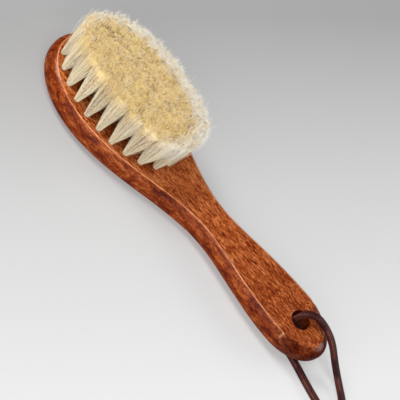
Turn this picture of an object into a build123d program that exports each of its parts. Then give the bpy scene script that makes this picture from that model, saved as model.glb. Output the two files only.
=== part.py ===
from build123d import *
import math
import os

os.makedirs("parts", exist_ok=True)

# A shoe shine brush that lies on its wooden back with the hair up.
# The origin is on the surface under the middle of the wood, +X runs from the head to the handle end and +Z is up.
# Every length is in millimetres and every angle in degrees.

# Wooden body, seen from above: the neck's places are shares of its length, from the head's widest place to the grip's
body_length = 180.0
head_width = 52.0
head_round_length = 36.0
shoulder_width = 38.8
shoulder_share = 0.27
waist_width = 20.8
waist_share = 0.54
swell_width = 25.0
swell_share = 0.72
grip_width = 31.2
grip_round_length = 22.0

# Wooden body, seen from the side: places are measured from the head's tip, or are shares of the neck
head_thickness = 10.9
waist_thickness = 9.7
grip_thickness = 10.8
back_flat_length = 86.0
thinnest_share = 0.67
full_grip_share = 0.92
bend_from_tip = 86.0
bend_radius = 250.0
handle_rise = 2.2
edge_round = 5.0
rim_cut = 0.5

# Hanging hole
hanging_hole_diameter = 9.0
hanging_hole_from_end = 18.0
hanging_hole_round = 0.4

# Tuft holes: three ovals, named from the rim inwards, round a short row on the centre line
tuft_hole_diameter = 3.2
tuft_hole_depth = 7.5
oval_from_tip = 38.8
oval_half_length = 34.0
oval_half_width = 19.6
oval_step_along = 7.6
oval_step_across = 7.0
ovals = {"outer": 22, "middle": 16, "inner": 10}
centre_row_count = 3
centre_row_pitch = 9.0

# Anchors of flat wire, each driven edge first across its tuft
anchor_thickness = 0.35
anchor_height = 1.6
anchor_bite = 0.4
anchor_above_floor = 0.9

# Hair: nine strands a tuft, which stand on a ring and a middle place and spread over a field of tips
tuft_clearance = 0.05
strand_foot_ring = 1.0
strand_foot_side = 0.62
strand_sink = 0.4
strand_tip_along = 1.7
strand_tip_across = 1.3
hair_length = 24.5
field_from_tip = 37.5
field_half_length = 36.0
field_half_width = 20.0
field_step = 5.7
centre_strand_pitch = 1.6
rim_drop = 1.6
toe_drop = 2.0
toe_corner_power = 2.0
heel_corner_power = 2.8

# Leather lace, from the knot under the handle, up through the hanging hole and back to the knot
lace_diameter = 2.7
lace_route = [
    (128.4, -18.2, 3.2),
    (123.6, -16.2, 3.2),
    (117.2, -14.2, 1.7),
    (108.0, -12.4, 1.4),
    (97.0, -10.3, 1.4),
    (87.0, -7.5, 1.4),
    (79.0, -6.1, 1.4),
    (73.4, -4.9, 1.4),
    (70.3, -3.1, 1.4),
    (69.3, -1.2, 3.1),
    (70.0, -0.2, 7.0),
    (70.1, 0.2, 12.2),
    (70.6, 0.9, 16.6),
    (74.4, 3.7, 19.0),
    (80.5, 5.7, 17.5),
    (88.5, 5.6, 15.0),
    (98.0, 4.8, 7.9),
    (107.5, 3.5, 2.4),
    (113.2, 0.3, 1.4),
    (118.8, -7.8, 1.5),
    (124.85, -13.2, 3.2),
    (129.65, -15.2, 3.2),
]
arc_share = 0.45

# Knot and its two tails
knot_length = 8.6
knot_width = 9.2
knot_height = 7.0
knot_round = 1.2
tail_lead = 3.0
tail_length = 11.0
tail_spread = 2.2

# Overrun of every cut past the wood
overrun = 2.0

tip_x = -body_length / 2
end_x = body_length / 2
head_x = tip_x + head_round_length
grip_x = end_x - grip_round_length
neck_length = grip_x - head_x
bend_x = tip_x + bend_from_tip
thinnest_x = head_x + thinnest_share * neck_length
full_grip_x = head_x + full_grip_share * neck_length
rise_slope = math.tan(math.radians(handle_rise))


def face_height(x):
    """Height of the wood's upper face: level over the head, then rising with the handle."""
    return head_thickness + max(0, x - bend_x) * rise_slope


def upper_line(lift):
    """Side view of the upper face, raised by lift, as two straight runs joined by one long bend."""
    start = (tip_x - overrun, face_height(tip_x) + lift)
    bend = (bend_x, face_height(bend_x) + lift)
    finish = (end_x + overrun, face_height(end_x + overrun) + lift)
    return FilletPolyline(start, bend, finish, radius=bend_radius)


# Tufts of the three ovals: where each stands, and the nine strands that spread from it over the field of tips
oval_x = tip_x + oval_from_tip
field_x = tip_x + field_from_tip
strand_steps = [(along, outward) for along in (-1, 0, 1) for outward in (-1, 0, 1)]
tufts = {}


def tip_height(x, y):
    """Height of the trimmed hair: nearly level, rounded down to the rim and lower towards the head's tip."""
    along = (x - field_x) / field_half_length
    across = y / field_half_width
    return head_thickness + hair_length - rim_drop * (along**2 + across**2) ** 2 - toe_drop * min(0, along) ** 2


def strand_ends(root, heading, along, outward, x, y):
    """Foot, tip and heading of one strand, whose foot stands on the ring round its tuft's middle."""
    reach = strand_foot_ring / max(1, math.hypot(along, outward))
    side = Vector(heading.Y, -heading.X)
    foot = root + (heading * along + side * outward) * reach + Vector(0, 0, head_thickness - strand_sink)
    return foot, Vector(x, y, tip_height(x, y)), heading


for order, (oval_name, count) in enumerate(ovals.items()):
    half_length = oval_half_length - order * oval_step_along
    half_width = oval_half_width - order * oval_step_across
    oval = EllipticalCenterArc((oval_x, 0), half_length, half_width, arc_size=360)
    shift = order % 2 / 2
    for place in range(count):
        root = oval @ ((place + shift) / count)
        heading = oval % ((place + shift) / count)
        strands = []
        for along, outward in strand_steps:
            aim = oval @ ((place + shift + along / 3) / count % 1)
            turn = math.atan2(aim.Y / half_width, (aim.X - oval_x) / half_length)
            power = heel_corner_power if aim.X > oval_x else toe_corner_power
            corner = (abs(math.cos(turn)) ** power + abs(math.sin(turn)) ** power) ** (-1 / power)
            inset = (order + 1 / 2 - outward / 3) * field_step
            x = field_x + (field_half_length - inset) * math.cos(turn) * corner
            y = (field_half_width - inset) * math.sin(turn) * corner
            strands.append(strand_ends(root, heading, along, outward, x, y))
        tufts[f"tuft_{oval_name}_{place + 1:02d}"] = root, strands

# Tufts of the short row on the centre line, whose strands stand in straight rows
for place in range(centre_row_count):
    root = Vector(oval_x + (place - (centre_row_count - 1) / 2) * centre_row_pitch, 0)
    strands = []
    for along, outward in strand_steps:
        x = root.X + along * centre_row_pitch / 3
        y = -outward * centre_strand_pitch
        strands.append(strand_ends(root, Vector(1, 0), along, outward, x, y))
    tufts[f"tuft_centre_{place + 1:02d}"] = root, strands

tuft_roots = [root for root, strands in tufts.values()]
tuft_floor = head_thickness - tuft_hole_depth
anchor_floor = tuft_floor + anchor_above_floor
anchor_length = tuft_hole_diameter + 2 * anchor_bite

# Wooden body: the outline seen from above is cut to the side view, rounded all round, then planed flat on top
with BuildPart() as brush_body:
    with BuildSketch(Plane.XY.offset(-overrun)):
        with BuildLine():
            EllipticalCenterArc((head_x, 0), head_round_length, head_width / 2, start_angle=90, arc_size=90)
            Spline(
                (head_x, head_width / 2),
                (head_x + shoulder_share * neck_length, shoulder_width / 2),
                (head_x + waist_share * neck_length, waist_width / 2),
                (head_x + swell_share * neck_length, swell_width / 2),
                (grip_x, grip_width / 2),
                tangents=[(1, 0), (1, 0)],
            )
            EllipticalCenterArc((grip_x, 0), grip_round_length, grip_width / 2, start_angle=0, arc_size=90)
            mirror(about=Plane.XZ)
        make_face()
    extrude(amount=face_height(end_x) + rim_cut + 2 * overrun)

    with BuildSketch(Plane.XZ):
        with BuildLine():
            top = upper_line(rim_cut)
            flat_end_x = tip_x + back_flat_length
            rest = Line((tip_x - overrun, 0), (flat_end_x, 0))
            hollow = Spline(
                (flat_end_x, 0),
                (thinnest_x, face_height(thinnest_x) - waist_thickness),
                (full_grip_x, face_height(full_grip_x) - grip_thickness),
                (end_x + overrun, face_height(end_x + overrun) - grip_thickness),
                tangents=[(1, 0), (1, rise_slope)],
            )
            Line(top @ 0, rest @ 0)
            Line(top @ 1, hollow @ 1)
        make_face()
    extrude(amount=head_width, both=True, mode=Mode.INTERSECT)

    rim_edges = brush_body.edges().filter_by(Axis.Z, reverse=True).filter_by(Axis.Y, reverse=True)
    fillet(rim_edges, edge_round)

    with BuildSketch(Plane.XZ):
        with BuildLine():
            face = upper_line(0)
            above = upper_line(rim_cut + overrun)
            Line(face @ 0, above @ 0)
            Line(face @ 1, above @ 1)
        make_face()
    extrude(amount=head_width, both=True, mode=Mode.SUBTRACT)

    hanging_hole_x = end_x - hanging_hole_from_end
    with BuildSketch(Plane.XY.offset(-overrun)):
        with Locations((hanging_hole_x, 0)):
            Circle(hanging_hole_diameter / 2)
    before_bore = brush_body.edges()
    extrude(amount=face_height(end_x) + 2 * overrun, mode=Mode.SUBTRACT)
    bore_mouths = (brush_body.edges() - before_bore).filter_by(Axis.Z, reverse=True)
    fillet(bore_mouths, hanging_hole_round)

    with BuildSketch(Plane.XY.offset(tuft_floor)):
        with Locations(*tuft_roots):
            Circle(tuft_hole_diameter / 2)
    extrude(amount=tuft_hole_depth + overrun, mode=Mode.SUBTRACT)
    with BuildSketch(Plane.XY.offset(anchor_floor)):
        with Locations(*tuft_roots):
            Rectangle(anchor_length, anchor_thickness)
    extrude(amount=anchor_height, mode=Mode.SUBTRACT)

brush_body.part.label = "brush_body"
export_step(brush_body.part, "parts/brush_body.step")

# Anchors: one short length of flat wire across the foot of each tuft
with BuildPart() as tuft_anchors:
    with BuildSketch(Plane.XY.offset(anchor_floor)):
        with Locations(*tuft_roots):
            Rectangle(anchor_length, anchor_thickness)
    extrude(amount=anchor_height)

tuft_anchors.part.label = "tuft_anchors"
export_step(tuft_anchors.part, "parts/tuft_anchors.step")


def strand(foot, tip, heading):
    """One strand of hair: a straight four-sided bar that widens from its foot to its tip."""
    with BuildSketch(Plane(foot, x_dir=heading), mode=Mode.PRIVATE) as foot_face:
        Rectangle(strand_foot_side, strand_foot_side)
    with BuildSketch(Plane(tip, x_dir=heading), mode=Mode.PRIVATE) as tip_face:
        Rectangle(strand_tip_along, strand_tip_across)
    return loft([foot_face.sketch, tip_face.sketch], ruled=True, mode=Mode.PRIVATE)


# Tufts: the bound root that fills the hole and is folded round its anchor, with the strands fused to it
for tuft_name, (root, strands) in tufts.items():
    with BuildPart() as tuft:
        with BuildSketch(Plane.XY.offset(tuft_floor)):
            with Locations(root):
                Circle(tuft_hole_diameter / 2 - tuft_clearance)
        extrude(amount=tuft_hole_depth)
        with BuildSketch(Plane.XY.offset(anchor_floor)):
            with Locations(root):
                Rectangle(anchor_length, anchor_thickness)
        extrude(amount=anchor_height, mode=Mode.SUBTRACT)
        add([strand(*ends) for ends in strands])

    tuft.part.label = tuft_name
    export_step(tuft.part, f"parts/{tuft_name}.step")

# Lace: one tube whose route is straight runs joined by arcs, each as large as its two runs allow
lace_points = [Vector(*point) for point in lace_route]
lace_runs = [after - before for before, after in zip(lace_points, lace_points[1:])]
lace_radii = []
for run, next_run in zip(lace_runs, lace_runs[1:]):
    half_turn = math.radians(run.get_angle(next_run) / 2)
    lace_radii.append(arc_share * min(run.length, next_run.length) / math.tan(half_turn))
with BuildPart() as hanging_cord:
    with BuildLine() as lace_line:
        FilletPolyline(*lace_points, radius=lace_radii)
    lace_path = lace_line.wires()[0]
    with BuildSketch(Plane(lace_path @ 0, z_dir=lace_path % 0)):
        Circle(lace_diameter / 2)
    sweep()

hanging_cord.part.label = "hanging_cord"
export_step(hanging_cord.part, "parts/hanging_cord.step")
lace_volume = math.pi * lace_diameter**2 / 4 * lace_path.length
print("lace length", round(lace_path.length, 1), "least radius", round(min(lace_radii), 2))
print("lace radii", [round(radius, 1) for radius in lace_radii])
print("lace volume over section times length", round(hanging_cord.part.volume / lace_volume, 4))

# Knot: its outer shape, seated on both ends of the lace, with the two tails that lie on past it
knot_ahead = (lace_points[0] - lace_points[1]).normalized()
knot_across = (lace_points[-1] - lace_points[0]).normalized()
knot_middle = (lace_points[0] + lace_points[-1]) / 2
knot_seat = Vector(knot_middle.X, knot_middle.Y, knot_height / 2)
with BuildPart() as cord_knot:
    with BuildSketch(Plane(knot_seat, x_dir=knot_across, z_dir=knot_ahead)):
        Ellipse(knot_width / 2, knot_height / 2)
    extrude(amount=knot_length)
    fillet(cord_knot.edges(), knot_round)
    for side, reach in ((-1, tail_length), (1, tail_length - tail_lead)):
        tail_start = lace_points[0 if side < 0 else -1] + knot_ahead * (knot_length - knot_round)
        lead = tail_start + knot_ahead * (knot_round + tail_lead)
        low = lead + knot_ahead * tail_lead + knot_across * side * tail_spread / 2
        low = Vector(low.X, low.Y, lace_diameter / 2)
        finish = low + knot_ahead * reach / 2 + knot_across * side * tail_spread
        with BuildLine() as tail_line:
            FilletPolyline(tail_start, lead, low, finish, radius=lace_diameter)
        tail_path = tail_line.wires()[0]
        with BuildSketch(Plane(tail_path @ 0, z_dir=tail_path % 0)):
            Circle(lace_diameter / 2)
        sweep()

cord_knot.part.label = "cord_knot"
export_step(cord_knot.part, "parts/cord_knot.step")
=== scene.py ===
import math

import bmesh
import bpy
import numpy as np
from mathutils import Matrix, Vector


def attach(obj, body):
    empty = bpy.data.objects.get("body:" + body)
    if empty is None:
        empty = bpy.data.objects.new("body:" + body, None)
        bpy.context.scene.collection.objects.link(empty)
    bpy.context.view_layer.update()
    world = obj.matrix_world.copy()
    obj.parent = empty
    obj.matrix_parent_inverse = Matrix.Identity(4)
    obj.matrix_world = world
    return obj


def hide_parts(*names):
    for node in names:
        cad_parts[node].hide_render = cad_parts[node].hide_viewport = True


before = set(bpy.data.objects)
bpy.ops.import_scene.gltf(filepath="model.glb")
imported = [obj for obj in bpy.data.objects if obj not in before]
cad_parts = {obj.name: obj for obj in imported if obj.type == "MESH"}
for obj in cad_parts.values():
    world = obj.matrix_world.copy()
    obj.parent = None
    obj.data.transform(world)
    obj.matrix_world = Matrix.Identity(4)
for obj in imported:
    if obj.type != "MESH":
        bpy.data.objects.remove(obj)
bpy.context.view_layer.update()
scene = bpy.context.scene
scene.view_settings.view_transform = "Standard"

# Brush body: head, neck and handle carved from one piece of beech, stained reddish brown and
# lacquered. It is sanded round all along its edges, then planed flat on top, which leaves the crisp
# rim round the upper face. It is drilled for the lace and, with a blind hole each, for the tufts.
wood_length = 0.180
head_width, head_round_length = 0.052, 0.036
shoulder_width, shoulder_share = 0.0388, 0.27
waist_width, waist_share = 0.0208, 0.54
swell_width, swell_share = 0.025, 0.72
grip_width, grip_round_length = 0.0312, 0.022
head_thickness, waist_thickness, grip_thickness = 0.0109, 0.0097, 0.0108
back_flat_length, thinnest_share, full_grip_share = 0.086, 0.67, 0.92
bend_from_tip, bend_half_length, rise_slope = 0.086, 0.0048, math.tan(math.radians(2.2))
edge_round, rim_cut, rim_ease = 0.005, 0.0005, 0.0008
round_stop_x, round_stop_length = 0.0698, 0.0022
dent_depth, dent_centre, dent_half_length = 0.00025, 0.4, 0.3
end_crease, end_reach_start, end_reach_full, end_reach_run = math.radians(20), 0.0048, 0.0076, 0.014
hole_from_end, hole_radius, hole_round = 0.018, 0.0045, 0.0005
tuft_hole_radius, tuft_hole_depth, hole_sides, drill_overrun = 0.0016, 0.0075, 20, 0.001
oval_from_tip, oval_half_length, oval_half_width = 0.0388, 0.034, 0.0196
oval_step_along, oval_step_across = 0.0076, 0.0070
oval_counts = {"outer": 22, "middle": 16, "inner": 10}
centre_count, centre_pitch = 3, 0.009
outline_count, round_samples, neck_samples, oval_samples = 360, 400, 800, 2001
slit_start_x, slit_end_to_hole = -0.070, 0.008
face_shares = np.array([0, 0.01, 0.25, 0.5, 0.75, 0.9, 0.99])[:, None]
ease_rows, upper_rows, lower_rows, lip_rows = 6, 14, 18, 6
# The last three set the rows of the painted highlight along the crisp rim and of its painted hook
# in the dent, and the hook's strength.
rim_end_row, highlight_rows, dent_rows, dent_highlight = 12, slice(8, 12), slice(9, 18), 0.7
wood_sharp_angle, weld_distance = math.radians(40), 1e-7

tip_x, end_x = -wood_length / 2, wood_length / 2
head_x, grip_x = tip_x + head_round_length, end_x - grip_round_length
neck_length = grip_x - head_x
hole_x = end_x - hole_from_end
oval_x = tip_x + oval_from_tip


def clamped_cubic(at, places, values, first_slope, last_slope):
    """Height of the smooth cubic spline through (places, values) at the places in at.
    Its slopes are found so that the curvature is unbroken. Each span is a cubic Hermite curve."""
    gap, slopes = np.diff(places), np.diff(values) / np.diff(places)
    count = len(places)
    system, right = np.eye(count), np.zeros(count)
    right[0], right[-1] = first_slope, last_slope
    for i in range(1, count - 1):
        system[i, i - 1 : i + 2] = 1 / gap[i - 1], 2 / gap[i - 1] + 2 / gap[i], 1 / gap[i]
        right[i] = 3 * (slopes[i - 1] / gap[i - 1] + slopes[i] / gap[i])
    lean = np.linalg.solve(system, right)
    span = np.clip(np.searchsorted(places, at, side="right") - 1, 0, count - 2)
    t = (at - np.take(places, span)) / gap[span]
    low, high = np.take(values, span), np.take(values, span + 1)
    bend = t * (1 - t) * gap[span] * ((1 - t) * lean[span] - t * lean[span + 1])
    return low + (high - low) * t**2 * (3 - 2 * t) + bend


def smooth_step(share):
    """0 up to a share of 0, 1 from a share of 1, and a cubic with level ends between."""
    share = np.clip(share, 0, 1)
    return share**2 * (3 - 2 * share)


def face_height(x):
    """Height of the upper face: level over the head, then rising with the handle, and a parabola
    between the two."""
    past = x - tip_x - bend_from_tip
    eased = (past + bend_half_length) ** 2 / (4 * bend_half_length)
    rise = np.where(np.abs(past) < bend_half_length, eased, np.maximum(past, 0))
    return head_thickness + rise * rise_slope


def back_height(x):
    """Height of the back: flat under the head, then a shallow hollow for the fingers that rises
    with the handle."""
    thinnest_x = head_x + thinnest_share * neck_length
    full_x = head_x + full_grip_share * neck_length
    places = [tip_x + back_flat_length, thinnest_x, full_x, end_x]
    depths = [head_thickness, waist_thickness, grip_thickness, grip_thickness]
    heights = [face_height(place) - depth for place, depth in zip(places, depths)]
    heights[0] = 0.0
    return np.where(x < places[0], 0, clamped_cubic(x, places, heights, 0, rise_slope))


def half_outline():
    """The +Y half of the outline seen from above, from the head's tip to the handle's end, in even
    steps: a quarter of an ellipse, the neck's smooth spline and a quarter of a smaller ellipse."""
    turn = np.linspace(0, math.pi / 2, round_samples)
    neck = np.linspace(head_x, grip_x, neck_samples)[1:-1]
    shares = np.array([0, shoulder_share, waist_share, swell_share, 1])
    widths = np.array([head_width, shoulder_width, waist_width, swell_width, grip_width])
    neck_y = clamped_cubic(neck, head_x + shares * neck_length, widths / 2, 0, 0)
    x = np.concatenate([head_x - head_round_length * np.cos(turn), neck,
                        grip_x + grip_round_length * np.sin(turn)])
    y = np.concatenate([head_width / 2 * np.sin(turn), neck_y, grip_width / 2 * np.cos(turn)])
    along = np.concatenate([[0], np.cumsum(np.hypot(np.diff(x), np.diff(y)))])
    even = np.linspace(0, along[-1], outline_count)
    return np.interp(even, along, x), np.interp(even, along, y)


def mirrored(x, y):
    """Closes a half outline with its mirror image: out along +Y and back along -Y, with each end
    taken once."""
    return np.concatenate([x, x[-2:0:-1]]), np.concatenate([y, -y[-2:0:-1]])


def grid_faces(rows, columns):
    """Quads of a grid whose columns close on themselves, as corner numbers into its places."""
    corner = np.arange(rows * columns).reshape(rows, columns)
    after = np.roll(corner, -1, axis=1)
    return np.stack([corner[:-1], after[:-1], after[1:], corner[1:]], axis=-1).reshape(-1, 4)


def make_piece(name, points, faces):
    """A smooth mesh object at the origin, from an array of places and an array of faces that all
    have as many corners."""
    points = np.reshape(points, (-1, 3))
    mesh = bpy.data.meshes.new(name)
    mesh.vertices.add(len(points))
    mesh.vertices.foreach_set("co", np.ravel(points))
    mesh.loops.add(faces.size)
    mesh.loops.foreach_set("vertex_index", np.ravel(faces))
    mesh.polygons.add(len(faces))
    mesh.polygons.foreach_set("loop_start", np.arange(0, faces.size, faces.shape[1]))
    mesh.update(calc_edges=True)
    mesh.shade_smooth()
    piece = bpy.data.objects.new(name, mesh)
    scene.collection.objects.link(piece)
    return piece


def weld(piece, turn_outwards=False):
    """Merges the corners that lie on each other, which closes the seams and poles of a grid, and
    turns the faces outwards where asked."""
    work = bmesh.new()
    work.from_mesh(piece.data)
    bmesh.ops.remove_doubles(work, verts=work.verts, dist=weld_distance)
    if turn_outwards:
        bmesh.ops.recalc_face_normals(work, faces=work.faces)
    work.to_mesh(piece.data)
    work.free()


def ring_round_hole(half_x):
    """The closed curve that the faces' grid starts from: a slit along the centre line of the head
    and handle, which opens into a circle at the hanging hole's rounded mouth. Its places follow
    the outline's, one each."""
    radius = hole_radius + hole_round
    slit_end, last_x = hole_x - radius, hole_x - slit_end_to_hole
    slit = half_x <= last_x
    turn = np.linspace(math.pi, 0, np.count_nonzero(~slit) + 1)[1:]
    share = np.clip((half_x[slit] - slit_start_x) / (last_x - slit_start_x), 0, 1)
    x = np.concatenate([slit_start_x + share * (slit_end - slit_start_x),
                        hole_x + radius * np.cos(turn)])
    x[np.count_nonzero(slit) - 1] = slit_end
    return mirrored(x, np.concatenate([np.zeros(np.count_nonzero(slit)), radius * np.sin(turn)]))


def wood_grid():
    """The body's surface as rows that run round it: out over the upper face, down the rounded side
    and in under the back. The side's rows are offsets of the outline, with an eased rim between the
    planed face and the rounded edge. The cutter that leaves the crisp rim stops short of the
    handle's end, in a small dent. Past it the edge is rounded by hand: part of an ellipse that
    reaches further in towards the very end."""
    half_x, half_y = half_outline()
    x, y = mirrored(half_x, half_y)
    run_x, run_y = np.roll(x, -1) - np.roll(x, 1), np.roll(y, -1) - np.roll(y, 1)
    inward_x, inward_y = run_y / np.hypot(run_x, run_y), -run_x / np.hypot(run_x, run_y)
    ease_depth = edge_round - rim_cut - rim_ease
    ease_angle = math.acos(ease_depth / (edge_round - rim_ease))
    ease_inset = edge_round - math.sqrt((edge_round - rim_ease) ** 2 - ease_depth**2)
    ease = np.linspace(0, ease_angle, ease_rows)
    upper = np.linspace(ease_angle, math.pi / 2, upper_rows)[1:]
    lower = np.linspace(math.pi / 2, math.pi, lower_rows)[:, None]
    inset = np.concatenate([ease_inset - rim_ease * np.sin(ease), edge_round * (1 - np.sin(upper))])
    drop = np.concatenate([rim_ease * (np.cos(ease) - 1),
                           rim_cut + edge_round * (np.cos(upper) - 1)])
    end_turn = np.linspace(end_crease, math.pi / 2, len(inset))[:, None]
    end_growth = smooth_step((x - round_stop_x) / end_reach_run)
    end_reach = end_reach_start + (end_reach_full - end_reach_start) * end_growth
    end_inset = end_reach * (1 - np.sin(end_turn))
    end_drop = drop[-1] * (1 - np.cos(end_turn) / math.cos(end_crease))
    past_stop = (x - round_stop_x) / round_stop_length
    near_end = smooth_step(past_stop)
    inset = inset[:, None] + (end_inset - inset[:, None]) * near_end
    drop = drop[:, None] + (end_drop - drop[:, None]) * near_end
    dent_down = np.sin(np.linspace(0, math.pi, len(drop)))[:, None]
    dent_along = np.exp(-((past_stop - dent_centre) / dent_half_length) ** 2)
    drop = drop - dent_depth * dent_down * dent_along
    inset = np.concatenate([inset, edge_round * (1 - np.sin(lower)) + 0 * x])
    drop = np.concatenate([drop, edge_round * (1 + np.cos(lower)) + 0 * x])
    rim_x, rim_y = x + inward_x * inset[0], y + inward_y * inset[0]
    hem_x, hem_y = x + inward_x * edge_round, y + inward_y * edge_round
    ring_x, ring_y = ring_round_hole(half_x)
    back_shares = face_shares[::-1]
    face_x = ring_x + (rim_x - ring_x) * face_shares
    face_y = ring_y + (rim_y - ring_y) * face_shares
    side_x, side_y = x + inward_x * inset, y + inward_y * inset
    back_x = ring_x + (hem_x - ring_x) * back_shares
    back_y = ring_y + (hem_y - ring_y) * back_shares
    above = np.arange(len(drop))[:, None] < len(ease) + len(upper)
    side_z = drop + np.where(above, face_height(side_x), back_height(side_x))
    return np.concatenate([np.stack([face_x, face_y, face_height(face_x)], axis=-1),
                           np.stack([side_x, side_y, side_z], axis=-1),
                           np.stack([back_x, back_y, back_height(back_x)], axis=-1)])


def bore_grid():
    """The hanging hole's wall from the back's mouth to the upper one, both rounded over a quarter
    of a circle."""
    mouth_radius = hole_radius + hole_round
    ring_x, ring_y = ring_round_hole(half_outline()[0])
    turn_x, turn_y = ring_x - hole_x, ring_y
    on_circle = np.hypot(turn_x, turn_y) < mouth_radius + 1e-6
    turn_x, turn_y = turn_x[on_circle], turn_y[on_circle]
    lip = np.linspace(0, math.pi / 2, lip_rows)
    reach = 1 - hole_round / mouth_radius * np.sin(lip)
    reach = np.concatenate([reach, reach[::-1]])[:, None]
    x, y = hole_x + turn_x * reach, turn_y * reach
    lift = hole_round * (1 - np.cos(lip))
    z = np.concatenate([back_height(x[:lip_rows]) + lift[:, None],
                        face_height(x[lip_rows:]) - lift[::-1, None]])
    return np.stack([x, y, z], axis=-1)


def oval_place(order, share):
    """Place on a tuft oval at a share of the way round it, by length from its +X end, anticlockwise
    from above. order is 0 for the outer oval, 1 for the middle one and 2 for the inner one."""
    turn = np.linspace(0, 2 * math.pi, oval_samples)
    x = oval_x + (oval_half_length - order * oval_step_along) * np.cos(turn)
    y = (oval_half_width - order * oval_step_across) * np.sin(turn)
    gone = np.concatenate([[0], np.cumsum(np.hypot(np.diff(x), np.diff(y)))])
    return np.interp(share % 1, gone / gone[-1], x), np.interp(share % 1, gone / gone[-1], y)


def tuft_roots(row):
    """Centres of the holes of one row of tufts: even steps of length round an oval, with the middle
    oval turned by half a step so that its tufts stand behind the gaps, or even steps along the
    centre line."""
    if row == "centre":
        steps = np.arange(centre_count) - (centre_count - 1) / 2
        return oval_x + steps * centre_pitch, np.zeros(centre_count)
    order, count = list(oval_counts).index(row), oval_counts[row]
    return oval_place(order, (np.arange(count) + (order == 1) / 2) / count)


def drill_holes(piece):
    """Cuts the blind tuft holes: upright prisms of many sides, from above the face to the holes'
    depth. A prism's corners are its floor's ring and then its top's."""
    centres = np.concatenate([tuft_roots(row) for row in [*oval_counts, "centre"]], axis=1).T
    turn = np.arange(hole_sides) * 2 * math.pi / hole_sides
    ring = np.stack([np.cos(turn), np.sin(turn)], axis=-1) * tuft_hole_radius
    heights = head_thickness - tuft_hole_depth, head_thickness + drill_overrun
    corners = np.empty((len(centres), 2, hole_sides, 3))
    corners[..., :2] = (centres[:, None] + ring)[:, None]
    corners[..., 2] = np.array(heights)[:, None]
    floor_ring, top_ring = np.arange(2 * hole_sides).reshape(2, hole_sides)
    walls = np.stack([np.roll(floor_ring, 1), floor_ring, top_ring, np.roll(top_ring, 1)], axis=-1)
    faces = [(face + drill * 2 * hole_sides).tolist()
             for drill in range(len(centres)) for face in [floor_ring[::-1], top_ring, *walls]]
    mesh = bpy.data.meshes.new("drills")
    mesh.from_pydata(corners.reshape(-1, 3).tolist(), [], faces)
    drills = bpy.data.objects.new("drills", mesh)
    scene.collection.objects.link(drills)
    cut = piece.modifiers.new("tuft holes", "BOOLEAN")
    cut.operation, cut.solver, cut.object = "DIFFERENCE", "EXACT", drills
    evaluated = piece.evaluated_get(bpy.context.evaluated_depsgraph_get())
    drilled = bpy.data.meshes.new_from_object(evaluated)
    piece.modifiers.clear()
    piece.data = drilled
    bpy.data.objects.remove(drills)


class Field:
    """A value or colour that varies over a finish: one output socket of its material's nodes. Sums,
    differences and products of fields and numbers add Math nodes, and node() adds any other."""

    def __init__(self, tree, socket=None):
        self.tree, self.socket = tree, socket

    def node(self, kind, settings, values, output=0):
        """Adds a node. Its settings are made first, a ramp's stops among them, and then each
        socket gets its value or link."""
        added = self.tree.nodes.new(kind)
        for setting, value in settings.items():
            if setting == "stops":
                while len(added.color_ramp.elements) < len(value):
                    added.color_ramp.elements.new(1)
                for stop, (place, colour) in zip(added.color_ramp.elements, value):
                    stop.position, stop.color = place, (*colour, 1)
            else:
                setattr(added, setting, value)
        for socket, value in values.items():
            if isinstance(value, Field):
                self.tree.links.new(value.socket, added.inputs[socket])
            else:
                added.inputs[socket].default_value = value
        return Field(self.tree, added.outputs[output])

    def maths(self, operation, first, second):
        """The sum, difference or product of two fields or numbers."""
        return self.node("ShaderNodeMath", {"operation": operation}, {0: first, 1: second})

    def __add__(self, other):
        return self.maths("ADD", self, other)

    def __sub__(self, other):
        return self.maths("SUBTRACT", self, other)

    def __rsub__(self, other):
        return self.maths("SUBTRACT", other, self)

    def __mul__(self, other):
        return self.maths("MULTIPLY", self, other)

    __radd__, __rmul__ = __add__, __mul__

    def noise(self, places, size, detail=2.0, roughness=0.5):
        """Noise from 0 to 1 with spots of a size in metres along X, Y and Z."""
        stretched = self.node("ShaderNodeMapping", {},
                              {"Vector": places, "Scale": [1 / side for side in size]})
        return self.node("ShaderNodeTexNoise", {}, {"Vector": stretched, "Scale": 1.0,
                                                    "Detail": detail, "Roughness": roughness})

    def between(self, low, high):
        """0 where this field is short of low, 1 past high, and a smooth step between them."""
        return self.node("ShaderNodeMapRange", {"interpolation_type": "SMOOTHSTEP"},
                         {"Value": self, "From Min": low, "From Max": high})

    def mixed(self, first, second, way="MIX"):
        """The first colour where this field is 0. Where it is 1, the second colour, or both blended
        in another way."""
        return self.node("ShaderNodeMix", {"data_type": "RGBA", "blend_type": way},
                         {0: self, 6: first, 7: second}, 2)

    def ramp(self, stops):
        """The colour at this field's value on a ramp of (value, colour) stops."""
        return self.node("ShaderNodeValToRGB", {"stops": stops}, {0: self})

    def bump(self, depth):
        """Surface normals of a relief whose height is this field times a depth in millimetres."""
        return self.node("ShaderNodeBump", {},
                         {"Height": self * depth, "Distance": 0.001, "Strength": 1.0})


def new_finish(name):
    """An empty material, a field that its first nodes are added to, and its Object coordinates."""
    material = bpy.data.materials.new(name)
    material.use_nodes = True
    material.node_tree.nodes.clear()
    start = Field(material.node_tree)
    return material, start, start.node("ShaderNodeTexCoord", {}, {}, "Object")


def close_finish(start, surface):
    """Links a finished shader to its material's output."""
    output = start.tree.nodes.new("ShaderNodeOutputMaterial")
    start.tree.links.new(surface.socket, output.inputs["Surface"])


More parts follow.
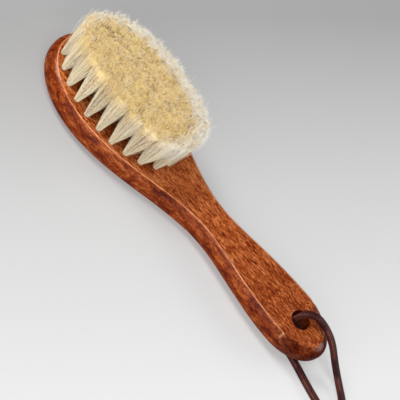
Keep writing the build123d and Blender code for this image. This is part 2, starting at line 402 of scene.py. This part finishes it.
streak_size, fibre_size = (0.0050, 0.0006, 0.0006), (0.0030, 0.00038, 0.00038)
speck_size, blotch_size = (0.0010, 0.0005, 0.0005), (0.012, 0.004, 0.004)
mottle_size, curl_size = (0.0065, 0.0024, 0.0024), (0.0060, 0.0040, 0.0016)
# Size of the patches that make the painted rim highlight brighter and fainter.
highlight_patch_size = (0.009, 0.009, 0.009)
side_slope, flank_slope, end_slope = (0.92, 0.55), (0.75, 0.40), (0.98, 0.86)
# The first pair sets where the face is painted darker from the neck towards the handle, as painted
# shade.
handle_shade_span, round_end = (0.005, 0.055), (0.066, 0.078)
stain_tones = [(0.0, (0.085, 0.007, 0.0003)), (0.17, (0.17, 0.019, 0.0005)),
               (0.36, (0.25, 0.039, 0.003)), (0.5, (0.32, 0.057, 0.008)),
               (0.64, (0.39, 0.083, 0.015)), (0.83, (0.54, 0.152, 0.040)),
               (1.0, (0.68, 0.23, 0.078))]
# How much darker the rounded sides and the handle's rounded end are made.
side_darkening, end_darkening = (0.66, 0.56, 0.38, 1), (0.50, 0.42, 0.50, 1)
# Pale orange painted along the crisp rim as a highlight.
rim_highlight_paint = (0.95, 0.42, 0.19, 1)


def lacquered_wood():
    """Beech under a red-brown stain. On the planed face the grain shows as short pale and dark
    streaks and dashes, and the face is painted darker from the neck towards the handle as painted
    shade, so that the neck looks the more lit. The rounded sides are darker, blotched and flecked
    with curls where the cut runs across the rays, and darkest round the handle's end. A pale orange
    line is painted along the crisp rim as a highlight, with a painted hook where the cutter stops,
    and a clear gloss coat covers all."""
    material, start, places = new_finish("lacquered_wood")
    facing = start.node("ShaderNodeTexCoord", {}, {}, "Normal")
    upright = start.node("ShaderNodeSeparateXYZ", {}, {"Vector": facing}, 2)
    upright = upright * upright
    along = start.node("ShaderNodeSeparateXYZ", {}, {"Vector": places}, 0)
    side = upright.between(*side_slope)
    streaks = start.noise(places, streak_size, 3.0, 0.7)
    fibres = start.noise(places, fibre_size, 1.0)
    specks = start.noise(places, speck_size, 2.0, 0.7)
    blotches = start.noise(places, blotch_size, 2.0)
    mottle = start.noise(places, mottle_size, 3.0, 0.7)
    tone = streaks * 1.4 + fibres * 2.4 + specks * 2.6 + blotches * 0.9 - 3.06
    # Painted shade: the face darkens from the neck towards the handle, so that the neck looks the
    # more lit.
    tone = tone - along.between(*handle_shade_span) * 0.2
    side_tone = streaks * 1.1 + specks * 1.3 + mottle * 1.8 + blotches * 1.2 - 2.26
    curls = (start.noise(places, curl_size, 1.0) - 0.5) * 9
    curls = (1 - (curls * curls).between(0.0, 0.03)) * mottle.between(0.50, 0.62)
    colour = (tone + (side_tone - tone + curls * 0.35) * side).ramp(stain_tones)
    # Darker on the rounded sides, and darker still round the handle's end.
    colour = side.mixed(colour, side_darkening, "MULTIPLY")
    round_end_share = along.between(*round_end) * upright.between(*end_slope)
    colour = round_end_share.mixed(colour, end_darkening, "MULTIPLY")
    # Painted highlight: a pale orange line along the crisp rim, in brighter and fainter patches.
    rim = start.node("ShaderNodeAttribute", {"attribute_name": "rim_wear"}, {}, "Fac")
    highlight_patches = start.noise(places, highlight_patch_size, 2.0).between(0.35, 0.65)
    colour = (rim * (0.5 + highlight_patches * 0.5)).mixed(colour, rim_highlight_paint)
    surface = start.node("ShaderNodeBsdfPrincipled", {}, {
        "Base Color": colour, "Roughness": 0.5 - specks * 0.1, "Specular IOR Level": 0.0,
        "Normal": (streaks + specks).bump(0.02),
        "Coat Weight": 0.55 - upright.between(*flank_slope) * 0.33,
        "Coat Roughness": 0.28, "Coat IOR": 1.5})
    close_finish(start, surface)
    return material


wood_places, bore_places = wood_grid(), bore_grid()
wood_points, bore_points = wood_places.reshape(-1, 3), bore_places.reshape(-1, 3)
wood_faces = grid_faces(*wood_places.shape[:2])
bore_faces = grid_faces(*bore_places.shape[:2]) + len(wood_points)
brush_wood = make_piece("brush_wood", np.concatenate([wood_points, bore_points]),
                        np.concatenate([wood_faces, bore_faces]))
# Painted highlight: the rows just inside the crisp rim, up to where the cutter stops, and a hook in
# the dent are marked for the pale orange line.
near_stop = (wood_places[rim_end_row, :, 0] - round_stop_x) / round_stop_length
rim_highlight_marks = np.zeros(wood_places.shape[:2])
rim_highlight_marks[highlight_rows] = np.clip(1 - near_stop, 0, 1)
rim_highlight_marks[dent_rows] += dent_highlight * np.exp(-((near_stop - dent_centre) / dent_half_length) ** 2)
rim_wear = np.concatenate([rim_highlight_marks.ravel(), np.zeros(len(bore_points))])
brush_wood.data.attributes.new("rim_wear", "FLOAT", "POINT").data.foreach_set("value", rim_wear)
weld(brush_wood)
drill_holes(brush_wood)
brush_wood.data.set_sharp_from_angle(angle=wood_sharp_angle)
brush_wood.data.materials.clear()
brush_wood.data.materials.append(lacquered_wood())
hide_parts("brush_body")
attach(brush_wood, "root")

# Tuft anchors: a short length of flat steel wire in each tuft hole, driven over the fold of the
# hair. Their ends bite into the wood on both sides of the hole, and none of it shows on the
# finished brush.
scratch_size = (0.0012, 0.00004, 0.00004)
steel_dull, steel_bright = (0.46, 0.46, 0.47, 1), (0.68, 0.67, 0.65, 1)


def drawn_steel():
    """Steel wire drawn through a die: bright, with fine scratches along its length."""
    material, start, places = new_finish("drawn_steel")
    scratches = start.noise(places, scratch_size, 2.0)
    surface = start.node("ShaderNodeBsdfPrincipled", {}, {
        "Base Color": scratches.mixed(steel_dull, steel_bright), "Metallic": 1.0,
        "Roughness": 0.28 + scratches * 0.2, "Normal": scratches.bump(0.05)})
    close_finish(start, surface)
    return material


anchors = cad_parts["tuft_anchors"]
anchors.material_slots[0].material = drawn_steel()

# Hair tufts: bundles of some hundred natural hairs, each folded in half and held in its hole by its
# anchor. The bound roots are as narrow as the holes. Above them the hair flares until the tufts
# meet, and the whole brush is trimmed to one shallow dome. The hair is cream; its ends are painted
# golden for the warm light deep in the dense field, and its fringe near white for light from
# behind.
field_from_tip, field_half_width = 0.0375, 0.020
field_toe_length, field_heel_length = 0.0340, 0.0362
toe_corner_power, heel_corner_power = 2.0, 2.8
field_step, patch_reach = 0.0057, 1.5
hair_length, rim_drop, toe_drop = 0.0245, 0.0016, 0.0028
centre_spread, centre_shift = 0.0116, 0.0006
centre_flare_along, centre_flare_across = 0.0039, 0.0019
hairs_in_tuft, hair_root_depth, bound_radius = 560, 0.002, 0.00135
locks_in_tuft, lock_pull, tip_lock_pull = 40, 0.45, 0.10
lock_flare = np.array([0.53, 0.80, 0.25])
hair_sides, hair_radii = 3, np.array([0.055, 0.060, 0.072, 0.080, 0.090, 0.060]) / 1000
hair_levels = np.array([0.0, 0.0, 0.38, 0.74, 0.94, 1.0])
hair_flare = np.array([0.0, 0.0, 0.53, 0.93, 0.99, 1.0])
bent_rings, end_ring = slice(2, 5), 5
thinnest_hair, thickest_hair, edge_thinning = 0.75, 1.25, 0.35
stray_chance, stray_extra, hair_wander = 0.04, 2.2, 0.08
end_scatter, trim_scatter, lock_step = 0.0003, 0.0003, 0.00025
short_hair_drop, short_hair_power = 0.0025, 5
hair_sway, end_sway, heading_step = 0.00012, 0.00042, 0.3
edge_rings, edge_power = 2, 8
fuzz_length, fuzz_most, fuzz_lean = 0.0008, 0.0024, [0.5, 1, 0.3]
core_sides, core_outer_share, core_corner_power = 16, 0.78, 4
core_levels = np.array([0.0, 0.10, 0.25, 0.38, 0.56, 0.74, 0.87, 0.93])
core_shares = np.array([0.84, 0.84, 0.84, 0.84, 0.84, 0.84, 0.94, 1.03])
# Painted shade: the core is given dark tones up to three quarters of its height, so that the gaps
# between the hairs show brown and dark cream.
core_shade_tones = np.array([0.12, 0.12, 0.12, 0.13, 0.14, 0.18, 0.45, 0.55])
# Painted light: the area of painted gold on the hair ends, and the pale fringe left round it.
gold_half_length, gold_half_width, gold_shift, gold_power = 0.0318, 0.0168, -0.0042, 2.3
gold_end, gold_slope, gold_scatter, gold_lock_scatter = 1.10, 0.22, 0.25, 0.3
lock_tone_share, own_tone_share = 0.45, 0.55
field_x = tip_x + field_from_tip
fuzz_from = [field_x, 0, 0.010]
draw = np.random.default_rng(7)


def field_tips(row, place, along, outward):
    """Where hairs end, for shares along the row and outward from -patch_reach to patch_reach: the
    row's own ring of the trimmed field, which is a superellipse that is squarer at its heel. The
    height is the field's shallow dome."""
    if row == "centre":
        x = field_x + centre_shift + (place - (centre_count - 1) / 2) * centre_spread
        x = x + along * centre_flare_along
        y = -outward * centre_flare_across
    else:
        order, count = list(oval_counts).index(row), oval_counts[row]
        step = place + (order == 1) / 2 + along / (2 * patch_reach)
        aim_x, aim_y = oval_place(order, step / count)
        turn = np.arctan2(aim_y / (oval_half_width - order * oval_step_across),
                          (aim_x - oval_x) / (oval_half_length - order * oval_step_along))
        power = np.where(aim_x > oval_x, heel_corner_power, toe_corner_power)
        corner = (np.abs(np.cos(turn)) ** power + np.abs(np.sin(turn)) ** power) ** (-1 / power)
        inset = (order + 0.5 - outward / (2 * patch_reach)) * field_step
        half_length = np.where(aim_x > oval_x, field_heel_length, field_toe_length)
        x = field_x + (half_length - inset) * np.cos(turn) * corner
        y = (field_half_width - inset) * np.sin(turn) * corner
    far_along, far_across = (x - field_x) / field_heel_length, y / field_half_width
    dome = rim_drop * (far_along**2 + far_across**2) ** 2
    dome = dome + toe_drop * np.minimum(0, far_along) ** 2
    return np.stack([x, y, head_thickness + hair_length - dome], axis=-1)


# Painted light: how much painted gold each hair end gets.
def gold_share(tips):
    """How golden a hair end at each place is: 1 inside a superellipse that leaves a pale fringe on
    the field's far side, toe and heel, 0 outside it, and a short slope between."""
    far_along = np.abs((tips[:, 0] - field_x) / gold_half_length)
    far_across = np.abs((tips[:, 1] - gold_shift) / gold_half_width)
    reach = (far_along**gold_power + far_across**gold_power) ** (1 / gold_power)
    return np.clip((gold_end - reach) / gold_slope, 0, 1)


def hair_core(root, turned, row, place):
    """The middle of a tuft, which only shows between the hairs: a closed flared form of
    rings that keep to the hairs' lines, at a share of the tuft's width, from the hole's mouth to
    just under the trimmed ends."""
    turn = np.arange(core_sides) * 2 * math.pi / core_sides
    spread = np.stack([np.cos(turn), np.sin(turn)], axis=-1)
    corner = (np.abs(spread) ** core_corner_power).sum(axis=1, keepdims=True)
    square = spread / corner ** (1 / core_corner_power)
    outward = core_shares[:, None] * square[:, 1]
    if row == "outer":
        outward = np.minimum(outward, core_outer_share)
    tips = field_tips(row, place, patch_reach * core_shares[:, None] * square[:, 0],
                      patch_reach * outward)
    roots = np.column_stack([root + core_shares[0] * bound_radius * spread @ turned,
                             np.full(core_sides, head_thickness)])
    flare = np.interp(core_levels, hair_levels[1:], hair_flare[1:])
    steps = np.stack([flare, flare, core_levels], axis=-1)
    rings = roots + (tips - roots) * steps[:, None]
    ends = np.repeat(rings[[0, -1]].mean(axis=1, keepdims=True), core_sides, axis=1)
    return np.concatenate([ends[:1], rings, ends[1:]])


def hair_tuft(name, row, place):
    """One tuft: each hair is a three-sided tube through six rings, from inside the hole to its
    trimmed end. Its root keeps its own place in the bound round bundle, so that hairs spread
    without crossing, and its end keeps that place in the tuft's patch of the field. Hairs gather
    in locks on the way up, and a few stray. The tuft's core is in the same mesh."""
    root = np.array([centres[place] for centres in tuft_roots(row)])
    spread = draw.uniform(-1, 1, (hairs_in_tuft, 2))
    bundle = spread * np.sqrt(1 - spread[:, ::-1] ** 2 / 2) * bound_radius
    locks = draw.uniform(-1, 1, (locks_in_tuft, 2))
    lock = np.argmin(np.linalg.norm(spread[:, None] - locks, axis=-1), axis=1)
    stray = 1 + stray_extra * (draw.random(hairs_in_tuft) < stray_chance)
    wander = draw.normal(0, hair_wander, (hairs_in_tuft, 2)) * stray[:, None]
    gathered = patch_reach * (spread + (locks[lock] - spread) * lock_pull) + wander
    shares = patch_reach * (spread + (locks[lock] - spread) * tip_lock_pull) + wander
    tips = field_tips(row, place, shares[:, 0], shares[:, 1])
    lean = field_tips(row, place, gathered[:, 0], gathered[:, 1]) - tips
    if row == "centre":
        outermost = np.zeros(hairs_in_tuft)
    else:
        rings_in = list(oval_counts).index(row) + 0.5 - shares[:, 1] / (2 * patch_reach)
        outermost = np.clip(1 - rings_in / edge_rings, 0, 1) ** edge_power
    tips[:, :2] += draw.normal(0, end_scatter, (hairs_in_tuft, 2)) * stray[:, None]
    tips[:, :2] += draw.normal(0, end_scatter, 2)
    tips[:, 2] += draw.normal(0, trim_scatter, hairs_in_tuft)
    tips[:, 2] -= short_hair_drop * draw.random(hairs_in_tuft) ** short_hair_power
    tips[:, 2] += draw.normal(0, lock_step, locks_in_tuft)[lock]
    ragged = draw.normal(0, gold_scatter, hairs_in_tuft)
    ragged += draw.normal(0, gold_lock_scatter, locks_in_tuft)[lock]
    gold = np.clip(gold_share(tips) + ragged, 0, 1)
    outward = (tips - fuzz_from) * fuzz_lean
    outward /= np.linalg.norm(outward, axis=1, keepdims=True)
    fuzz = np.minimum(draw.exponential(fuzz_length, hairs_in_tuft), fuzz_most)
    tips += outward * (outermost * fuzz)[:, None]
    ahead = field_tips(row, place, np.array([0, heading_step]), np.zeros(2))
    ahead_x, ahead_y, _ = ahead[1] - ahead[0]
    heading = np.arctan2(ahead_y, ahead_x)
    turned = np.array([[np.cos(heading), np.sin(heading)], [np.sin(heading), -np.cos(heading)]])
    roots = np.column_stack([root + bundle @ turned, np.full(hairs_in_tuft, head_thickness)])
    rise = np.stack([hair_flare, hair_flare, hair_levels], axis=-1)
    line = roots[:, None] + (tips - roots)[:, None] * rise
    line[:, bent_rings] += lean[:, None] * lock_flare[:, None]
    line[:, 0, 2] -= hair_root_depth
    line[:, bent_rings, :2] += draw.normal(0, hair_sway, (hairs_in_tuft, 3, 2))
    line[:, end_ring, :2] += draw.normal(0, end_sway, (hairs_in_tuft, 2))
    thickness = draw.uniform(thinnest_hair, thickest_hair, hairs_in_tuft)
    thickness *= 1 - edge_thinning * outermost
    side_turn = np.arange(hair_sides) * 2 * math.pi / hair_sides
    turn = draw.random(hairs_in_tuft)[:, None] * 2 * math.pi + side_turn
    around = np.stack([np.cos(turn), np.sin(turn), np.zeros_like(turn)], axis=-1)
    radius = thickness[:, None] * hair_radii
    hairs = line[:, :, None] + around[:, None] * radius[:, :, None, None]
    corner = np.arange(len(hair_levels) * hair_sides).reshape(-1, hair_sides)
    low, low_next = corner[:-1].ravel(), np.roll(corner, -1, axis=1)[:-1].ravel()
    walls = np.concatenate([np.stack([low, low_next, low_next + hair_sides], axis=-1),
                            np.stack([low, low_next + hair_sides, low + hair_sides], axis=-1)])
    one_hair = np.concatenate([walls, [corner[0, ::-1], corner[-1]]])
    first_corners = np.arange(hairs_in_tuft) * corner.size
    faces = (one_hair + first_corners[:, None, None]).reshape(-1, 3)
    core = hair_core(root, turned, row, place)
    core_faces = grid_faces(*core.shape[:2]) + hairs.size // 3
    core_faces = np.concatenate([core_faces[:, :3], core_faces[:, [0, 2, 3]]])
    tuft = make_piece(name, np.concatenate([hairs.reshape(-1, 3), core.reshape(-1, 3)]),
                      np.concatenate([faces, core_faces]))
    own = lock_tone_share * draw.random(locks_in_tuft)[lock]
    own += own_tone_share * draw.random(hairs_in_tuft)
    marks = np.ones((hairs_in_tuft, len(hair_levels), hair_sides, 4))
    marks[..., 0] = hair_levels[None, :, None]
    marks[..., 1] = own[:, None, None]
    marks[..., 2] = gold[:, None, None]
    core_marks = np.ones((*core.shape[:2], 4))
    core_marks[..., 0] = np.concatenate([[0], core_levels, core_levels[-1:]])[:, None]
    # Painted shade: the low core's dark tones.
    core_marks[..., 1] = np.concatenate([core_shade_tones[:1], core_shade_tones, core_shade_tones[-1:]])[:, None]
    core_marks[..., 2] = gold_share(core.reshape(-1, 3)).reshape(core.shape[:2])
    marks = np.concatenate([marks.reshape(-1, 4), core_marks.reshape(-1, 4)])
    hair_marks = tuft.data.color_attributes.new("hair_marks", "FLOAT_COLOR", "POINT")
    hair_marks.data.foreach_set("color", marks.ravel())
    weld(tuft)
    return tuft


hair_clump_size, hair_speck_size = (0.004, 0.004, 0.004), (0.0004, 0.0004, 0.0008)
# The cream is the hair's own colour. The gold is painted light from deep in the dense ends, the
# near white is painted light from behind, and the brown marks a few hairs and the painted shade in
# the core.
cream_dark, cream_pale = (0.66, 0.46, 0.26, 1), (1.0, 0.92, 0.70, 1)
gold_dark, gold_pale = (0.50, 0.21, 0.035, 1), (1.0, 0.83, 0.39, 1)
backlit_fringe_white, brown_hair_and_gap_shade = (1.0, 0.98, 0.92, 1), (0.26, 0.14, 0.05, 1)


def brush_hair():
    """Natural hair, cream along its length. Its ends inside the field are painted golden, painted
    light for the warm glow deep in the dense field, and the thin fringe round it is painted nearly
    white for light from behind. Each hair has its own tone, and a few are brown; the brown and dark
    cream also colour the low core as painted shade between the hairs."""
    material, start, places = new_finish("brush_hair")
    marks = start.node("ShaderNodeAttribute", {"attribute_name": "hair_marks"}, {}, "Color")
    level, own, gilt = [start.node("ShaderNodeSeparateColor", {}, {"Color": marks}, mark)
                        for mark in range(3)]
    clumps = start.noise(places, hair_clump_size, 2.0)
    own = own + start.noise(places, hair_speck_size, 1.0) * 1.2 - 0.6
    # Painted light: golden ends and a near white fringe.
    golden = level.between(0.50, 0.94) * gilt * (0.75 + clumps * 0.5)
    cream = own.between(0.10, 0.50).mixed(cream_dark, cream_pale)
    cream = (level * (1 - gilt)).between(0.35, 0.75).mixed(cream, backlit_fringe_white)
    gold = own.between(0.11, 0.52).mixed(gold_dark, gold_pale)
    colour = own.between(0.19, 0.12).mixed(golden.mixed(cream, gold), brown_hair_and_gap_shade)
    surface = start.node("ShaderNodeBsdfPrincipled", {}, {
        "Base Color": colour, "Roughness": 0.5, "Specular IOR Level": 0.3,
        "Diffuse Roughness": 1.0, "Sheen Weight": 1.0, "Sheen Roughness": 0.5,
        "Sheen Tint": (1.0, 0.88, 0.68, 1)})
    close_finish(start, surface)
    return material


hair_finish = brush_hair()
for row in [*oval_counts, "centre"]:
    for place in range(len(tuft_roots(row)[0])):
        tuft = hair_tuft(f"hair_{row}_{place + 1:02d}", row, place)
        tuft.data.materials.append(hair_finish)
        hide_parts(f"tuft_{row}_{place + 1:02d}")
        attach(tuft, "root")

# Hanging lace: one thong of dyed and waxed cowhide, cut nearly square, with paler cut edges. It
# goes up through the hanging hole, over the handle's end and down, and its two ends are tied
# together in the knot.
lace_width, lace_thickness = 0.0030, 0.0025
thong_corner, corner_steps, thong_sharp_angle = 0.0006, 5, math.radians(50)
lace_route = [
    (0.1284, -0.0182, 0.0032), (0.1236, -0.0162, 0.0032), (0.1172, -0.0142, 0.0017),
    (0.1080, -0.0124, 0.0014), (0.0970, -0.0103, 0.0014), (0.0870, -0.0075, 0.0014),
    (0.0790, -0.0061, 0.0014), (0.0734, -0.0049, 0.0014), (0.0703, -0.0031, 0.0014),
    (0.0693, -0.0012, 0.0031), (0.0700, -0.0002, 0.0070), (0.0701, 0.0002, 0.0122),
    (0.0706, 0.0009, 0.0166), (0.0744, 0.0037, 0.0190), (0.0805, 0.0057, 0.0175),
    (0.0885, 0.0056, 0.0150), (0.0980, 0.0048, 0.0079), (0.1075, 0.0035, 0.0024),
    (0.1132, 0.0003, 0.0014), (0.1188, -0.0078, 0.0015), (0.12485, -0.0132, 0.0032),
    (0.12965, -0.0152, 0.0032),
]


def smooth_line(points):
    """The places along a NURBS curve with these control points, from the first to the last."""
    curve = bpy.data.curves.new("line", "CURVE")
    curve.dimensions = "3D"
    curve.resolution_u = 8
    spline = curve.splines.new("NURBS")
    spline.points.add(len(points) - 1)
    spline.points.foreach_set("co", np.column_stack([points, np.ones(len(points))]).ravel())
    spline.order_u, spline.use_endpoint_u = 3, True
    carrier = bpy.data.objects.new("line", curve)
    mesh = bpy.data.meshes.new_from_object(carrier)
    line = np.empty((len(mesh.vertices), 3))
    mesh.vertices.foreach_get("co", line.ravel())
    bpy.data.objects.remove(carrier)
    bpy.data.curves.remove(curve)
    bpy.data.meshes.remove(mesh)
    return line


def thong(name, line, side, width, thickness):
    """A thong along a line: at each place a rectangle square to the line, its width along the side
    vectors and its corners quarter circles. Marks say how near each place is to the cut edges."""
    ahead = np.gradient(line, axis=0)
    ahead /= np.linalg.norm(ahead, axis=1, keepdims=True)
    side = side - np.sum(side * ahead, axis=1, keepdims=True) * ahead
    side /= np.linalg.norm(side, axis=1, keepdims=True)
    up = np.cross(side, ahead)
    quarter = np.linspace(0, math.pi / 2, corner_steps)
    turn = (np.arange(4)[:, None] * math.pi / 2 + quarter).ravel()
    corner_side, corner_up = np.repeat([[1, -1, -1, 1], [1, 1, -1, -1]], corner_steps, axis=1)
    flat = corner_side * (width / 2 - thong_corner) + thong_corner * np.cos(turn)
    tall = corner_up * (thickness / 2 - thong_corner) + thong_corner * np.sin(turn)
    rows = line[:, None] + flat[:, None] * side[:, None] + tall[:, None] * up[:, None]
    ends = np.repeat(line[[0, -1], None], len(turn), axis=1)
    rows = np.concatenate([ends[:1], rows, ends[1:]])
    piece = make_piece(name, rows, grid_faces(*rows.shape[:2]))
    marks = np.ones((*rows.shape[:2], 4))
    marks[..., 0] = np.abs(flat) / (width / 2)
    marks[..., 1] = np.abs(tall) / (thickness / 2)
    cut_marks = piece.data.color_attributes.new("cut_marks", "FLOAT_COLOR", "POINT")
    cut_marks.data.foreach_set("color", marks.ravel())
    weld(piece, turn_outwards=True)
    piece.data.set_sharp_from_angle(angle=thong_sharp_angle)
    return piece


leather_grain_size, leather_wear_size = (0.0005, 0.0005, 0.0005), (0.008, 0.008, 0.008)
leather_tones = [(0.1, (0.014, 0.002, 0.002)), (0.5, (0.052, 0.010, 0.009)),
                 (0.9, (0.13, 0.032, 0.026))]
cut_leather = (0.34, 0.14, 0.07, 1)


def lace_leather():
    """Waxed cowhide: dark red-brown with a fine pebbled grain, and paler in places along its cut
    edges."""
    material, start, places = new_finish("lace_leather")
    marks = start.node("ShaderNodeAttribute", {"attribute_name": "cut_marks"}, {}, "Color")
    sideways, upright = [start.node("ShaderNodeSeparateColor", {}, {"Color": marks}, mark)
                         for mark in range(2)]
    grain = start.noise(places, leather_grain_size, 3.0, 0.6)
    wear = start.noise(places, leather_wear_size, 2.0)
    colour = (grain * 1.4 + wear * 1.2 - 0.8).ramp(leather_tones)
    edge = sideways.between(0.74, 0.90) * upright.between(0.66, 0.90)
    colour = (edge * wear.between(0.35, 0.65) * 0.8).mixed(colour, cut_leather)
    surface = start.node("ShaderNodeBsdfPrincipled", {}, {
        "Base Color": colour, "Roughness": 0.42 + grain * 0.2, "Specular IOR Level": 0.15,
        "Normal": grain.bump(0.10)})
    close_finish(start, surface)
    return material


leather = lace_leather()
lace_line = smooth_line(lace_route)
lace = thong("hanging_lace", lace_line, np.array([[0.0, 1.0, 0.0]]), lace_width, lace_thickness)
lace.data.materials.append(leather)
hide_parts("hanging_cord")
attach(lace, "root")

# Knot: both ends of the lace tied together in one overhand knot. The pair wraps round itself, comes
# out through the wraps side by side, and ends in two short tails that lie on the floor. Each place
# of a strand is its length past the knot's mouth, its length to the side and its height.
knot_length, knot_width, knot_height = 0.0086, 0.0092, 0.0070
wrap_width, wrap_thickness, wrap_points = 0.0025, 0.0020, 14
wrap_from, wrap_to, wrap_inset, wrap_pitch = 40, 430, 0.55, 1.02
into_wraps = np.array([(-0.0004, 0.0018, 0.0032), (0.003, 0.0012, 0.0034)])
out_of_wraps = np.array([(0.0045, 0.0012, 0.0034), (0.0070, 0.0014, 0.0033)])
tail_past_knot = np.array([(0.002, 0.0017, 0.0032), (0.0055, 0.0028, 0.0014),
                           (0.009, 0.0040, 0.0013), (0.0125, 0.0047, 0.0013)])
shorter_tail = 0.0015
first_end, before_end, last_end = [np.array(lace_route[i]) for i in (0, 1, -1)]
knot_seat = (first_end + last_end) / 2
knot_ahead = (first_end - before_end) / np.linalg.norm(first_end - before_end)
knot_across = (last_end - first_end) / np.linalg.norm(last_end - first_end)


def knot_places(ahead, across, height):
    """Places in the knot: a length past its mouth, a length to the side, and a height over the
    floor."""
    flat = knot_seat + ahead[:, None] * knot_ahead + across[:, None] * knot_across
    return np.column_stack([flat[:, :2], height])


wrap_share = np.linspace(0, 1, wrap_points)
wrap_turn = np.radians(np.linspace(wrap_from, wrap_to, wrap_points))
knot_parts = []
for strand, side in enumerate((-1, 1)):
    wraps = knot_places(knot_length - wrap_width * (wrap_inset + strand * wrap_pitch + wrap_share),
                        (knot_width - wrap_thickness) / 2 * np.cos(wrap_turn),
                        knot_height / 2 + (knot_height - wrap_thickness) / 2 * np.sin(wrap_turn))
    leaving = np.concatenate([out_of_wraps, tail_past_knot + [knot_length, 0, 0]])
    leaving[-1, 0] -= strand * shorter_tail
    strand_line = smooth_line(np.concatenate([
        knot_places(into_wraps[:, 0], side * into_wraps[:, 1], into_wraps[:, 2]), wraps,
        knot_places(leaving[:, 0], side * leaving[:, 1], leaving[:, 2])]))
    knot_parts.append(thong(f"knot_strand_{strand + 1}", strand_line,
                            np.tile(knot_ahead, (len(strand_line), 1)),
                            wrap_width, wrap_thickness))
for part in knot_parts:
    part.data.materials.append(leather)
    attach(part, "root")
    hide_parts("cord_knot")

# Studio: a pale floor that the brush lies on, four soft lamps round it and a little light from the
# air, and the camera at the photograph's angle.
floor_half_side, floor_depth = 3.0, 0.0001
backdrop_axis, backdrop_near, backdrop_far = (-0.901, 0.433), -0.097, 0.097
floor_tones = [(0.0, 0.84), (0.25, 0.742), (0.5, 0.645), (0.75, 0.53), (1.0, 0.405)]
floor_glow_share, floor_to_objects = 0.4, (0.85, 0.85, 0.85, 1)
air_light = (0.10, 0.10, 0.10, 1)


def pale_floor():
    """Pale paper. The camera and reflections see its own even light, which fades from near white in
    front to grey behind, together with the light that falls on it, so that the shadow of the brush
    stays soft."""
    material, start, places = new_finish("pale_floor")
    x, y = [start.node("ShaderNodeSeparateXYZ", {}, {"Vector": places}, axis) for axis in range(2)]
    depth = x * backdrop_axis[0] + y * backdrop_axis[1]
    share = start.node("ShaderNodeMapRange", {},
                       {"Value": depth, "From Min": backdrop_near, "From Max": backdrop_far})
    shade = share.ramp([(place, (tone, tone, tone)) for place, tone in floor_tones])
    lit = start.node("ShaderNodeBsdfDiffuse", {}, {"Color": shade})
    glow = start.node("ShaderNodeEmission", {}, {"Color": shade, "Strength": 1.0})
    seen = start.node("ShaderNodeMixShader", {}, {0: floor_glow_share, 1: lit, 2: glow})
    plain = start.node("ShaderNodeBsdfDiffuse", {}, {"Color": floor_to_objects})
    camera_ray, glossy_ray, through_ray = [
        start.node("ShaderNodeLightPath", {}, {}, f"Is {ray} Ray")
        for ray in ("Camera", "Glossy", "Transmission")]
    surface = start.node("ShaderNodeMixShader", {},
                         {0: camera_ray + glossy_ray + through_ray, 1: plain, 2: seen})
    close_finish(start, surface)
    return material


floor_corners = np.array([(-1, -1, 0), (1, -1, 0), (1, 1, 0), (-1, 1, 0)]) * floor_half_side
floor = make_piece("floor", floor_corners - [0, 0, floor_depth], np.array([[0, 1, 2, 3]]))
floor.data.materials.append(pale_floor())


def soft_lamp(name, place, aim, width, depth, radiance):
    """A rectangular lamp at a place, facing the aim. Its power is radiance times area times pi."""
    light = bpy.data.lights.new(name, "AREA")
    light.shape, light.size, light.size_y = "RECTANGLE", width, depth
    light.energy = radiance * width * depth * math.pi
    lamp = bpy.data.objects.new(name, light)
    facing = (Vector(aim) - Vector(place)).to_track_quat("-Z", "Y")
    lamp.matrix_world = Matrix.Translation(place) @ facing.to_matrix().to_4x4()
    scene.collection.objects.link(lamp)


soft_lamp("toe_softbox", (-0.58, -0.10, 0.56), (0, 0, 0.01), 0.24, 0.24, 18.0)
soft_lamp("front_softbox", (0.00, -0.75, 0.36), (0, 0, 0.01), 1.20, 0.70, 2.1)
soft_lamp("top_softbox", (-0.05, -0.16, 0.70), (0, 0, 0.01), 0.40, 0.30, 4.1)
soft_lamp("back_strip", (0.45, 0.50, 0.35), (0, 0, 0.02), 0.50, 0.30, 4.4)

world = bpy.data.worlds.new("studio_air")
world.use_nodes = True
world.node_tree.nodes["Background"].inputs["Color"].default_value = air_light
world.node_tree.nodes["Background"].inputs["Strength"].default_value = 1.0
scene.world = world

# The camera looks down on the brush from its side, and is rolled so that the brush lies across the
# picture.
camera_azimuth, camera_elevation = math.radians(1.55), math.radians(46.19)
camera_roll = math.radians(52.3)
camera_distance, camera_lens, camera_sensor, camera_near = 0.600, 123.3, 36, 0.01
camera_shift_right, camera_shift_up = 0.00436, -0.00136
camera_target = Vector((0, 0, 0.008))
camera = bpy.data.objects.new("camera", bpy.data.cameras.new("camera"))
camera_turn = (Matrix.Rotation(-camera_azimuth, 4, "Z")
               @ Matrix.Rotation(math.pi / 2 - camera_elevation, 4, "X")
               @ Matrix.Rotation(camera_roll, 4, "Z"))
offset = camera_turn @ Vector((camera_shift_right, camera_shift_up, camera_distance))
camera.matrix_world = Matrix.Translation(camera_target + offset) @ camera_turn
camera.data.lens, camera.data.sensor_width = camera_lens, camera_sensor
camera.data.clip_start = camera_near
scene.collection.objects.link(camera)
scene.camera = camera
